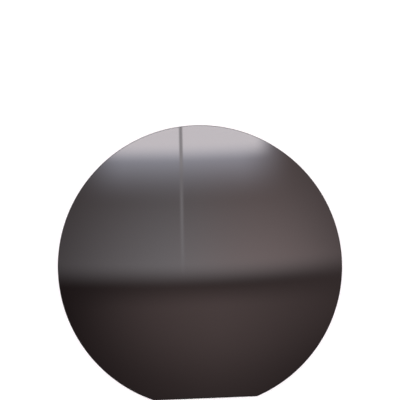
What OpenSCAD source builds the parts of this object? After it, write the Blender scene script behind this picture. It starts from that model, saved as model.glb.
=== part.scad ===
// Lithium niobate wafer: one disc sliced from a single crystal, with an
// orientation flat, a bevelled edge, a lapped back and a polished front.
// Millimetres. The back lies on Z = 0 with the disc's centre at the origin,
// the front faces +Z, and the flat faces -Y.

/* [Disc] */
// Diameter of the disc
wafer_d = 150; // [100:1:200]
// Thickness, from the back to the front
wafer_t = 0.5; // [0.44:0.02:1]

/* [Orientation flat] */
// Length of the flat, between the two points where its line meets the circle
flat_len = 47.5; // [10:0.5:70]

/* [Ground edge] */
// Width of each bevel, from the edge inwards
bevel_w = 0.4; // [0.2:0.05:0.4]
// Radius that rounds each bevel into the upright land between them
nose_r = 0.065; // [0.026:0.013:0.078]

/* [Hidden] */
$fn = 180;

wafer_r = wafer_d / 2;
// Distance from the disc's centre to the flat
flat_y = sqrt(pow(wafer_r, 2) - pow(flat_len / 2, 2));

// Slope of each bevel: 5 in 12, about 22.6 degrees
bevel_angle = atan2(5, 12);
// Where a bevel ends and its nose begins: how far in from the edge, and how
// far from the face
nose_in = nose_r * (1 - sin(bevel_angle));
bevel_h = (bevel_w - nose_in) * tan(bevel_angle);
// Distance from the face to the nose's centre, level with the land's end
land_h = bevel_h + nose_r * cos(bevel_angle);

// Part of a disc, from its centre out to the rounded nose of the back's
// bevel. It runs from square to the bevel round to square to the land.
module nose() {
    reach = 2 * nose_r;
    intersection() {
        circle(r = nose_r);
        polygon([
            [0, 0],
            reach * [sin(bevel_angle), -cos(bevel_angle)],
            [reach, 0],
        ]);
    }
}

// Half of the wafer's section, from x = 0 to its edge at x = reach: two flat
// faces, and an edge made of two bevels, two noses and an upright land
module section(reach) {
    polygon([
        [0, 0],
        [reach - bevel_w, 0],
        [reach - nose_in, bevel_h],
        [reach - nose_r, land_h],
        [reach, land_h],
        [reach, wafer_t - land_h],
        [reach - nose_r, wafer_t - land_h],
        [reach - nose_in, wafer_t - bevel_h],
        [reach - bevel_w, wafer_t],
        [0, wafer_t],
    ]);
    translate([reach - nose_r, land_h])
        nose();
    translate([reach - nose_r, wafer_t - land_h])
        mirror([0, 1])
            nose();
}

// Whole round disc: the section turned about the upright axis
module disc() {
    rotate_extrude()
        section(wafer_r);
}

// Slab behind the flat: the section carried along X, with its edge facing -Y.
// It reaches past the disc on the other three sides, so only the flat cuts it.
module slab() {
    translate([-wafer_d, wafer_d, 0])
        rotate([90, 0, 90])
            mirror([1, 0])
                linear_extrude(2 * wafer_d)
                    section(wafer_d + flat_y);
}

// What the disc and the slab share, so the edge's form runs all the way
// round and meets in a mitre at each end of the flat
module wafer() {
    color("#2b2426")
        intersection() {
            disc();
            slab();
        }
}

wafer();
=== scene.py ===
"""A polished lithium niobate wafer, lying on a white bench under a soft studio ceiling.

Everything is in metres and in the part's own frame: the back lies on Z = 0, the front faces +Z,
and the orientation flat faces -Y. The crystal is nearly black, so what the eye reads on its
front is the ceiling that it mirrors.
"""

import math

import bpy
import numpy as np
from mathutils import Matrix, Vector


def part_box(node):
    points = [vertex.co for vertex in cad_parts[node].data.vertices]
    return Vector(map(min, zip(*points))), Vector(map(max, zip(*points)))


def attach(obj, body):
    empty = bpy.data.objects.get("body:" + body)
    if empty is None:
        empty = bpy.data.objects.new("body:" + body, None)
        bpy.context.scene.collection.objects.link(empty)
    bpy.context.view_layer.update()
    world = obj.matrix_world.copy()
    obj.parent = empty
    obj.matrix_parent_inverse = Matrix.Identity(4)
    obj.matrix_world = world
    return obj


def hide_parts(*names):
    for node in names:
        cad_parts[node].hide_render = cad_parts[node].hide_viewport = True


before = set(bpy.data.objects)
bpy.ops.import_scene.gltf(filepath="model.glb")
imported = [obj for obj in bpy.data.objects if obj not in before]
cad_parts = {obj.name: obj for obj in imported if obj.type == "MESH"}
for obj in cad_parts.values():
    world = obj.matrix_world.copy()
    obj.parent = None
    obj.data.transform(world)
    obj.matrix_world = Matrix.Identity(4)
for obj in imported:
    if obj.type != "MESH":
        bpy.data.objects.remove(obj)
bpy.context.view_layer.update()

MM = 0.001

# ---------------------------------------------------------------- sizes, from the frame

LOWEST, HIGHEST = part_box("wafer")
WAFER_R = HIGHEST.y
FLAT_Y = -LOWEST.y
WAFER_T = HIGHEST.z
# The edge has a bevel to each face, and a small round where each bevel meets the upright land
BEVEL_W = 0.4 * MM
BEVEL_ANGLE = math.atan2(5, 12)
NOSE_R = 0.065 * MM

# ---------------------------------------------------------------- small helpers


def linear(hex_colour, level=1.0):
    """An sRGB hex colour as linear RGBA, times a level of light."""
    channels = [int(hex_colour[i:i + 2], 16) / 255 for i in (1, 3, 5)]
    bright = [c / 12.92 if c <= 0.04045 else ((c + 0.055) / 1.055) ** 2.4 for c in channels]
    return [level * c for c in bright] + [1.0]


def add(tree, kind, inputs=None, **settings):
    """Adds a node: settings are its properties, and each input is a value or an output to link.

    Inputs go by name or number. A colour Mix takes its share at 0 and its colours at 6 and 7, and
    gives its result at output 2.
    """
    node = tree.nodes.new("ShaderNode" + kind)
    for name, value in settings.items():
        setattr(node, name, value)
    for name, value in (inputs or {}).items():
        if isinstance(value, bpy.types.NodeSocket):
            tree.links.new(value, node.inputs[name])
        else:
            node.inputs[name].default_value = value
    return node


def new_material(name):
    """An empty node material and its tree."""
    material = bpy.data.materials.new(name)
    material.use_nodes = True
    material.node_tree.nodes.clear()
    return material, material.node_tree


# ---------------------------------------------------------------- finishes

# Lithium niobate's index of refraction, between those of its two rays
CRYSTAL_IOR = 2.25


def polished_crystal():
    """Black lithium niobate, lapped and then chemically and mechanically polished.

    The eye gets a mirror: the crystal's high index sends back about 15% of what is above it, and
    almost nothing comes out of the body but a trace of brown. The polish has a faint haze in
    broad patches, and the disc is bowed by some micrometres.
    """
    material, tree = new_material("polished_black_lithium_niobate")
    place = add(tree, "TexCoord").outputs["Object"]

    # The boule's colour drifts over some 40 mm
    drift = add(tree, "TexNoise", {"Vector": place, "Scale": 1 / (40 * MM), "Detail": 2.0})
    colour = add(tree, "Mix", {
        0: drift.outputs["Fac"], 6: linear("#0f0b0c"), 7: linear("#140f10"),
    }, data_type="RGBA")

    # Haze left by the last wipe, in patches some 25 mm across
    haze = add(tree, "TexNoise", {"Vector": place, "Scale": 1 / (25 * MM), "Detail": 4.0})
    roughness = add(tree, "MapRange", {
        "Value": haze.outputs["Fac"], "From Min": 0.35, "From Max": 0.75,
        "To Min": 0.012, "To Max": 0.035,
    })

    # Bow and warp: hills some 60 mm apart and a few micrometres high
    warp = add(tree, "TexNoise", {"Vector": place, "Scale": 1 / (60 * MM), "Detail": 1.0})
    bump = add(tree, "Bump", {
        "Height": warp.outputs["Fac"], "Strength": 1.0, "Distance": 0.02 * MM,
    })

    surface = add(tree, "BsdfPrincipled", {
        "Base Color": colour.outputs[2],
        "Roughness": roughness.outputs["Result"],
        "IOR": CRYSTAL_IOR,
        "Normal": bump.outputs["Normal"],
    })
    add(tree, "OutputMaterial", {"Surface": surface.outputs["BSDF"]})
    return material


def ground_edge():
    """The same crystal, ground with a fine diamond wheel and etched.

    It gives a near-black satin line round the mirror: no image, and much less shine.
    """
    material, tree = new_material("ground_lithium_niobate_edge")
    place = add(tree, "TexCoord").outputs["Object"]

    # Wheel marks that run round the rim: streaks some 4 mm long, drawn 0.06 mm apart because the
    # real ones are too fine to show
    streaks = add(tree, "VectorMath", {
        0: place, 1: (1 / (4 * MM), 1 / (4 * MM), 1 / (0.06 * MM)),
    }, operation="MULTIPLY")
    marks = add(tree, "TexNoise", {"Vector": streaks.outputs[0], "Scale": 1.0, "Detail": 3.0})
    colour = add(tree, "Mix", {
        0: marks.outputs["Fac"], 6: linear("#0b090a"), 7: linear("#171213"),
    }, data_type="RGBA")
    roughness = add(tree, "MapRange", {
        "Value": marks.outputs["Fac"], "To Min": 0.42, "To Max": 0.6,
    })
    bump = add(tree, "Bump", {
        "Height": marks.outputs["Fac"], "Strength": 1.0, "Distance": 0.02 * MM,
    })

    # The specular level is low because the etched pits shade one another
    surface = add(tree, "BsdfPrincipled", {
        "Base Color": colour.outputs[2],
        "Roughness": roughness.outputs["Result"],
        "IOR": CRYSTAL_IOR,
        "Specular IOR Level": 0.04,
        "Normal": bump.outputs["Normal"],
    })
    add(tree, "OutputMaterial", {"Surface": surface.outputs["BSDF"]})
    return material


def lapped_back():
    """The same crystal, lapped with loose grit and left matte.

    The eye gets an even, dull grey-brown with a fine grain and a few cloudy patches.
    """
    material, tree = new_material("lapped_lithium_niobate_back")
    place = add(tree, "TexCoord").outputs["Object"]

    clouds = add(tree, "TexNoise", {"Vector": place, "Scale": 1 / (18 * MM), "Detail": 3.0})
    colour = add(tree, "Mix", {
        0: clouds.outputs["Fac"], 6: linear("#3a3334"), 7: linear("#4a4243"),
    }, data_type="RGBA")

    # Grit pits, drawn 0.25 mm across because the real ones, at 0.02 mm, are too fine to show
    pits = add(tree, "TexNoise", {"Vector": place, "Scale": 1 / (0.25 * MM), "Detail": 2.0})
    bump = add(tree, "Bump", {
        "Height": pits.outputs["Fac"], "Strength": 0.5, "Distance": 0.03 * MM,
    })
    surface = add(tree, "BsdfPrincipled", {
        "Base Color": colour.outputs[2],
        "Roughness": 0.6,
        "IOR": CRYSTAL_IOR,
        "Normal": bump.outputs["Normal"],
    })
    add(tree, "OutputMaterial", {"Surface": surface.outputs["BSDF"]})
    return material


# ---------------------------------------------------------------- the wafer

# Points along the round part and along the flat of each ring
ARC_POINTS = 720
FLAT_POINTS = 60
# Steps in the round of each nose
NOSE_STEPS = 8
# Rings that divide a face, as shares of its outline
FACE_RINGS = (0.8, 0.6, 0.4, 0.2)


def ring(inset):
    """The wafer's outline, moved inwards by inset, as points anticlockwise from the flat's +X end.

    R is the wafer's radius and F the distance from its centre to the flat. The outline is the
    edge of what a circle of radius R - inset and the half plane above the line y = -(F - inset)
    share. The line cuts the circle at the angle acos((F - inset) / (R - inset)) on each side of
    -Y, so the round part runs between those angles, and the flat closes it.
    """
    radius = WAFER_R - inset
    line = FLAT_Y - inset
    half = math.acos(line / radius)
    angle = np.linspace(-math.pi / 2 + half, 1.5 * math.pi - half, ARC_POINTS)
    arc = radius * np.stack([np.cos(angle), np.sin(angle)], axis=1)
    share = np.linspace(0, 1, FLAT_POINTS + 2)[1:-1, None]
    flat = arc[-1] + share * (arc[0] - arc[-1])
    return np.concatenate([arc, flat])


def edge_section():
    """The section of the edge, from the front face round to the back, as (inset, height) pairs.

    A bevel leaves its face at the inset w and falls at the angle b until it touches a nose of
    radius r, at the inset r (1 - sin b). The nose's centre is at the depth
    l = (w - r (1 - sin b)) tan b + r cos b below the face. Round the nose, for a from b to 90
    degrees, the inset is r (1 - sin a) and the depth l - r cos a. Between the two noses is the
    upright land.
    """
    run = BEVEL_W - NOSE_R * (1 - math.sin(BEVEL_ANGLE))
    centre = run * math.tan(BEVEL_ANGLE) + NOSE_R * math.cos(BEVEL_ANGLE)
    turn = np.linspace(BEVEL_ANGLE, math.pi / 2, NOSE_STEPS + 1)
    inset = np.append(BEVEL_W, NOSE_R * (1 - np.sin(turn)))
    depth = np.append(0.0, centre - NOSE_R * np.cos(turn))
    front = np.stack([inset, WAFER_T - depth], axis=1)
    back = np.stack([inset, depth], axis=1)[::-1]
    return np.concatenate([front, back])


def wafer_mesh(front, edge, back):
    """The closed disc: one ring for each point of the section, then rings that shrink to a centre.

    Ring k and ring k + 1 are joined by quads in order round the outline, and the last ring of
    each face by triangles to its centre.
    """
    section = edge_section()
    count = ARC_POINTS + FLAT_POINTS
    rim = [np.column_stack([ring(inset), np.full(count, z)]) for inset, z in section]
    shrunk = [np.array([share, share, 1.0]) for share in FACE_RINGS]
    rings = [rim[0] * s for s in shrunk[::-1]] + rim + [rim[-1] * s for s in shrunk]
    centres = np.array([[0, 0, WAFER_T], [0, 0, 0]])
    points = np.concatenate(rings + [centres])

    here = np.arange(count)
    after = np.roll(here, -1)
    quads = np.concatenate([
        np.column_stack([here + a, here + a + count, after + a + count, after + a])
        for a in count * np.arange(len(rings) - 1)
    ])
    last = count * (len(rings) - 1)
    front_centre, back_centre = len(points) - 2, len(points) - 1
    caps = np.concatenate([
        np.column_stack([here, after, np.full(count, front_centre)]),
        np.column_stack([after + last, here + last, np.full(count, back_centre)]),
    ])

    mesh = bpy.data.meshes.new("wafer_crystal")
    mesh.from_pydata(points.tolist(), [], quads.tolist() + caps.tolist())
    for material in (front, edge, back):
        mesh.materials.append(material)

    # Which finish each face takes: bands of quads in ring order, then the two caps
    bands = [0] * len(FACE_RINGS) + [1] * (len(section) - 1) + [2] * len(FACE_RINGS)
    finish = np.concatenate([np.repeat(bands, count), np.repeat([0, 2], count)])
    mesh.polygons.foreach_set("material_index", finish.astype(np.int32))
    mesh.polygons.foreach_set("use_smooth", finish == 1)
    mesh.update()
    return mesh


def make_wafer():
    """The dressed disc, in place of the CAD node."""
    mesh = wafer_mesh(polished_crystal(), ground_edge(), lapped_back())
    piece = bpy.data.objects.new("wafer_crystal", mesh)
    bpy.context.scene.collection.objects.link(piece)
    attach(piece, "root")
    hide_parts("wafer")


# ---------------------------------------------------------------- studio

# The ceiling is flat. A place on it is how far across (+X) and how far along (+Y) it is from
# straight above the wafer. Every part is a rectangle with soft edges, laid over the ones before
# it. An edge is (place, softness), a missing one is out of sight, and cover is how much of what
# is under it a part hides.
CEILING_HEIGHT = 2.6
# How far an edge takes to fade, from a lamp's rim to light that slowly dies away
CRISP = 0.2
SOFT = 0.5
BROAD = 1.2
FADING = 2.0
# The three tints of the light
WARM = "#ffe0dd"
PLAIN = "#fff8fd"
COOL = "#eceeff"
# The softbox: its near edge and its right one
SOFTBOX_NEAR = 1.4
SOFTBOX_RIGHT = 0.62
# A thin rail that runs along the ceiling: its middle, its width and how soft its edges are
RAIL_X = -0.095
RAIL_W = 0.02
RAIL_SOFT = 0.025
RAIL_LEFT = (RAIL_X - RAIL_W / 2, RAIL_SOFT)
RAIL_RIGHT = (RAIL_X + RAIL_W / 2, RAIL_SOFT)

CEILING = [
    # the ceiling where no lamp lights it
    {"colour": WARM, "level": 0.03},
    # the dim stretch overhead
    {"colour": WARM, "level": 0.18, "left": (-0.6, BROAD), "near": (-0.1, SOFT)},
    # warm light that reaches the middle of it
    {"colour": WARM, "level": 0.4, "left": (-0.4, BROAD), "right": (0.7, BROAD),
     "near": (-0.3, BROAD), "far": (0.22, CRISP)},
    # the lit stretch
    {"colour": PLAIN, "level": 1.05, "left": (-0.8, FADING), "right": (0.7, FADING),
     "near": (0.37, CRISP)},
    # its warmer end, to the right
    {"colour": WARM, "level": 1.4, "left": (0.3, BROAD), "right": (0.7, FADING),
     "near": (0.4, CRISP)},
    # where it dims towards the far side
    {"colour": WARM, "level": 0.15, "near": (0.7, BROAD), "cover": 0.6},
    # glow that spills from the softbox onto the ceiling; the softbox hides the brightest of it
    {"colour": COOL, "level": 5.5, "left": (-0.8, SOFT), "right": (SOFTBOX_RIGHT, SOFT),
     "near": (1.52, BROAD)},
    # the softbox
    {"colour": PLAIN, "level": 3.5, "left": (-1.4, FADING), "right": (SOFTBOX_RIGHT, CRISP),
     "near": (SOFTBOX_NEAR, CRISP)},
    # the rail
    {"colour": PLAIN, "level": 1.0, "left": RAIL_LEFT, "right": RAIL_RIGHT, "near": (0.45, CRISP)},
    # the stretch of it that crosses the softbox
    {"colour": PLAIN, "level": 1.5, "left": RAIL_LEFT, "right": RAIL_RIGHT,
     "near": (SOFTBOX_NEAR - 0.15, CRISP)},
]
# How far the parts bow towards +Y at the sides, for each metre across squared
CEILING_BOW = 0.03
# The round of the ceiling that the wafer mirrors from above: its middle, and the edge where it
# gives way to the walls
CEILING_MIDDLE = (0.0, 0.6)
CEILING_EDGE = (1.9, 1.2)
# Places are worked out with at least this rise, so that they stay finite at the horizon
LEAST_RISE = 0.02

# The walls. Here the edges are the sine of the height above the horizon, and the softboxes stand
# in a row all round: their edge is on the sine of the turn times their number, which starts them
# half a gap from +Y.
SOFTBOX_COUNT = 5
WALLS = [
    # pale walls in shade, faintly warm
    {"colour": "#ffeae7", "level": 0.42},
    # the row of softboxes
    {"colour": "#fbf8ff", "level": 1.8, "low": (0.17, 0.14), "high": (0.72, 0.25),
     "box": (0.25, 0.85)},
]
# Light from overhead that the mirror doesn't show: its width in degrees, and its strength in
# watts to the square metre
FILL_SPREAD = 100
FILL_STRENGTH = 0.9

# The bench top: half its side, how far it lies under the wafer's back so that the two don't share
# a plane, and how much the camera and a mirror see it lifted
BENCH_HALF = 3.0
BENCH_DROP = 0.02 * MM
BENCH_LIFT = 0.15

# The camera: its sensor's width and its lens in millimetres, then in degrees its turn from +Y, its
# tilt from straight down and its roll, and its place, which is given from the middle of the front
SENSOR_WIDTH = 36.0
LENS = 30.9
CAMERA_TURN = -3.1
CAMERA_TILT = 20.4
CAMERA_ROLL = 1.2
CAMERA_PLACE = (-2.9 * MM, -40.5 * MM, WAFER_T + 180 * MM)


def soft_edge(tree, place, edge, inwards):
    """A share that goes from 0 to 1 over an edge, or from 1 to 0 where inwards is -1."""
    middle, width = edge
    ends = (0.0, 1.0) if inwards > 0 else (1.0, 0.0)
    step = add(tree, "MapRange", {
        "Value": place, "From Min": middle - width / 2, "From Max": middle + width / 2,
        "To Min": ends[0], "To Max": ends[1],
    }, interpolation_type="SMOOTHSTEP")
    return step.outputs["Result"]


def paint(tree, parts, sides):
    """The colour of a list of parts, each laid over the ones before it within its soft edges."""
    light = linear("#000000")
    for part in parts:
        share = part.get("cover", 1.0)
        for side, (place, inwards) in sides.items():
            if side in part:
                edge = soft_edge(tree, place, part[side], inwards)
                share = add(tree, "Math", {0: share, 1: edge}, operation="MULTIPLY").outputs[0]
        light = add(tree, "Mix", {
            0: share, 6: light, 7: linear(part["colour"], part["level"]),
        }, data_type="RGBA").outputs[2]
    return light


def light_studio():
    """The world: the ceiling and walls that light the wafer, and plain white for the camera."""
    world = bpy.data.worlds.new("studio")
    world.use_nodes = True
    tree = world.node_tree
    tree.nodes.clear()

    # Where a ray meets the ceiling: its slopes x / z and y / z, times the height
    way = add(tree, "SeparateXYZ", {0: add(tree, "TexCoord").outputs["Generated"]}).outputs
    rise = add(tree, "Math", {0: way["Z"], 1: LEAST_RISE}, operation="MAXIMUM").outputs[0]
    reach = add(tree, "Math", {0: CEILING_HEIGHT, 1: rise}, operation="DIVIDE").outputs[0]
    across = add(tree, "Math", {0: way["X"], 1: reach}, operation="MULTIPLY").outputs[0]
    along = add(tree, "Math", {0: way["Y"], 1: reach}, operation="MULTIPLY").outputs[0]
    square = add(tree, "Math", {0: across, 1: across}, operation="MULTIPLY").outputs[0]
    bow = add(tree, "Math", {0: square, 1: CEILING_BOW}, operation="MULTIPLY").outputs[0]
    bowed = add(tree, "Math", {0: along, 1: bow}, operation="SUBTRACT").outputs[0]
    # The turn round the room, and where it is in a softbox (1) or between two (-1)
    turn = add(tree, "Math", {0: way["Y"], 1: way["X"]}, operation="ARCTAN2").outputs[0]
    turns = add(tree, "Math", {0: turn, 1: -SOFTBOX_COUNT}, operation="MULTIPLY").outputs[0]
    comb = add(tree, "Math", {0: turns}, operation="SINE").outputs[0]

    ceiling = paint(tree, CEILING, {
        "left": (across, 1), "right": (across, -1), "near": (bowed, 1), "far": (bowed, -1),
    })
    walls = paint(tree, WALLS, {"low": (rise, 1), "high": (rise, -1), "box": (comb, 1)})
    place = add(tree, "CombineXYZ", {"X": across, "Y": along})
    spread = add(tree, "VectorMath", {0: place.outputs[0], 1: CEILING_MIDDLE + (0.0,)},
                 operation="DISTANCE").outputs["Value"]
    light = add(tree, "Mix", {
        0: soft_edge(tree, spread, CEILING_EDGE, 1), 6: ceiling, 7: walls,
    }, data_type="RGBA").outputs[2]

    lit = add(tree, "Background", {"Color": light})
    white = add(tree, "Background", {"Color": linear("#ffffff")})
    seen = add(tree, "LightPath").outputs["Is Camera Ray"]
    shown = add(tree, "MixShader", {0: seen, 1: lit.outputs[0], 2: white.outputs[0]})
    add(tree, "OutputWorld", {"Surface": shown.outputs[0]})
    bpy.context.scene.world = world


def make_fill():
    """Wide, even light from overhead, for the bench and the matte finishes."""
    data = bpy.data.lights.new("fill", "SUN")
    data.angle = math.radians(FILL_SPREAD)
    data.energy = FILL_STRENGTH
    fill = bpy.data.objects.new("fill", data)
    fill.visible_camera = False
    fill.visible_glossy = False
    bpy.context.scene.collection.objects.link(fill)


def make_floor():
    """A white bench top, just under the wafer.

    What the camera or a mirror sees of it is lifted to full white, and it keeps the wafer's
    shadow.
    """
    material, tree = new_material("white_bench_laminate")
    path = add(tree, "LightPath")
    seen = path.outputs["Is Camera Ray"]
    for ray in ("Is Glossy Ray", "Is Transmission Ray"):
        seen = add(tree, "Math", {0: seen, 1: path.outputs[ray]}, operation="MAXIMUM").outputs[0]
    lift = add(tree, "Math", {0: seen, 1: BENCH_LIFT}, operation="MULTIPLY")
    bench = add(tree, "BsdfDiffuse", {"Color": linear("#f6f6f6")})
    glow = add(tree, "Emission", {"Strength": lift.outputs[0]})
    both = add(tree, "AddShader", {0: bench.outputs[0], 1: glow.outputs[0]})
    add(tree, "OutputMaterial", {"Surface": both.outputs[0]})

    mesh = bpy.data.meshes.new("bench")
    signs = [(-1, -1), (1, -1), (1, 1), (-1, 1)]
    corners = [(x * BENCH_HALF, y * BENCH_HALF, -BENCH_DROP) for x, y in signs]
    mesh.from_pydata(corners, [], [(0, 1, 2, 3)])
    mesh.materials.append(material)
    floor = bpy.data.objects.new("bench", mesh)
    bpy.context.scene.collection.objects.link(floor)


def make_camera():
    """A short lens, held above the wafer and tipped forwards from straight down."""
    data = bpy.data.cameras.new("camera")
    data.sensor_width = SENSOR_WIDTH
    data.lens = LENS
    data.clip_start = 10 * MM
    camera = bpy.data.objects.new("camera", data)
    bpy.context.scene.collection.objects.link(camera)

    turn = Matrix.Rotation(math.radians(CAMERA_TURN), 4, "Z")
    tilt = Matrix.Rotation(math.radians(CAMERA_TILT), 4, "X")
    roll = Matrix.Rotation(math.radians(CAMERA_ROLL), 4, "Z")
    camera.matrix_world = Matrix.Translation(CAMERA_PLACE) @ turn @ tilt @ roll
    bpy.context.scene.camera = camera


# ---------------------------------------------------------------- the scene

make_wafer()
make_floor()
light_studio()
make_fill()
make_camera()
bpy.context.scene.view_settings.view_transform = "Standard"
